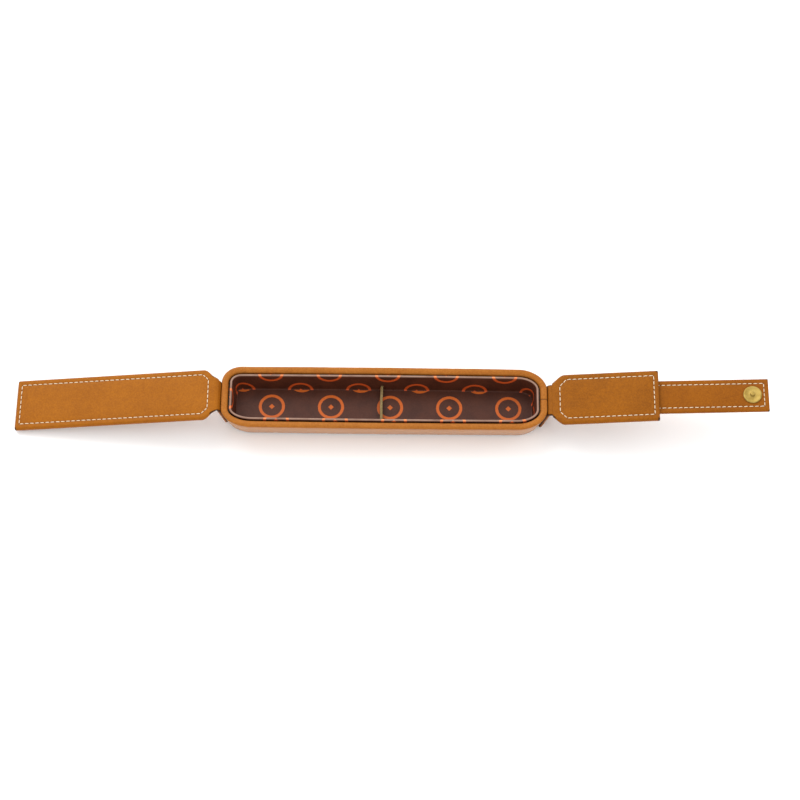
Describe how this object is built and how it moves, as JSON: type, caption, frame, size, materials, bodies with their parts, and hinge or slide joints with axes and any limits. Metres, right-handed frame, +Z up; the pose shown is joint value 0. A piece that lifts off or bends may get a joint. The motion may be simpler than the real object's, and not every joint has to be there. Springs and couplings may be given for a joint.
{
  "type": "fountain pen case",
  "caption": "Rigid leather tray case for a single fountain pen, closed by two hinged flaps and a strap with a magnetic snap.",
  "frame": {"origin": "centre of the flat base that the case stands on", "axes": "+X along the case towards the short flap and its strap, +Z up out of the open tray, +Y towards the back wall"},
  "size_m": [0.4057, 0.0354, 0.0281],
  "materials": {
    "tan_leather": "pebbled tan calf leather with dark painted edges",
    "board": "grey-brown pressed fibre board",
    "printed_lining": "dark brown coated canvas with an orange ring print",
    "cloth_tape": "woven cotton reinforcement tape",
    "thread": "waxed cream linen thread",
    "snap_brass": "scuffed satin brass plating",
    "snap_steel": "plain zinc-plated steel",
    "magnet": "dark pressed ferrite",
    "divider_edge": "raw khaki leather edge"
  },
  "bodies": {
    "tray": {"wall_leather": "tan_leather", "base_leather": "tan_leather", "left_end_strap": "tan_leather", "right_end_strap": "tan_leather", "wall_board": "board", "base_board": "board", "tray_floor_board": "board", "tray_wall_board": "board", "wall_lining": "printed_lining", "floor_lining": "printed_lining", "divider": "divider_edge"},
    "neck": {"left_neck": "tan_leather"},
    "long_flap": {"left_flap_facing": "tan_leather", "left_flap_board": "board", "left_hinge_tape": "cloth_tape", "left_flap_cover": "tan_leather", "left_flap_thread": "thread", "snap_socket_cup": "snap_brass", "snap_socket_magnet": "magnet", "snap_socket_washer": "snap_steel"},
    "short_flap": {"right_flap_facing": "tan_leather", "right_flap_board": "board", "right_hinge_tape": "cloth_tape", "right_flap_cover": "tan_leather", "right_flap_thread": "thread", "strap_anchor": "tan_leather"},
    "strap": {"strap_facing": "tan_leather", "strap_cover": "tan_leather", "strap_thread": "thread", "snap_stud_plate": "snap_brass", "snap_stud_post": "snap_brass", "snap_stud_washer": "snap_steel"}
  },
  "joints": [
    {"name": "long_flap_hinge", "type": "hinge", "parent": "tray", "child": "neck", "pos_m": [-0.0891, 0, 0.018], "axis": [0, 1, 0], "range_deg": [0, 60]},
    {"name": "long_flap_turn", "type": "hinge", "parent": "neck", "child": "long_flap", "pos_m": [-0.09015, 0, 0.01982], "axis": [0, 1, 0], "range_deg": [0, 129.2]},
    {"name": "short_flap_hinge", "type": "hinge", "parent": "tray", "child": "short_flap", "pos_m": [0.0882, 0, 0.018], "axis": [0, -1, 0], "range_deg": [-8, 172.5]},
    {"name": "strap_bend", "type": "hinge", "parent": "short_flap", "child": "strap", "pos_m": [0.14787, 0, 0.02061], "axis": [0, 1, 0], "range_deg": [0, 100]}
  ],
  "couplings": [
    {"joint": "long_flap_turn", "follows": "long_flap_hinge", "ratio": 2.1533}
  ]
}
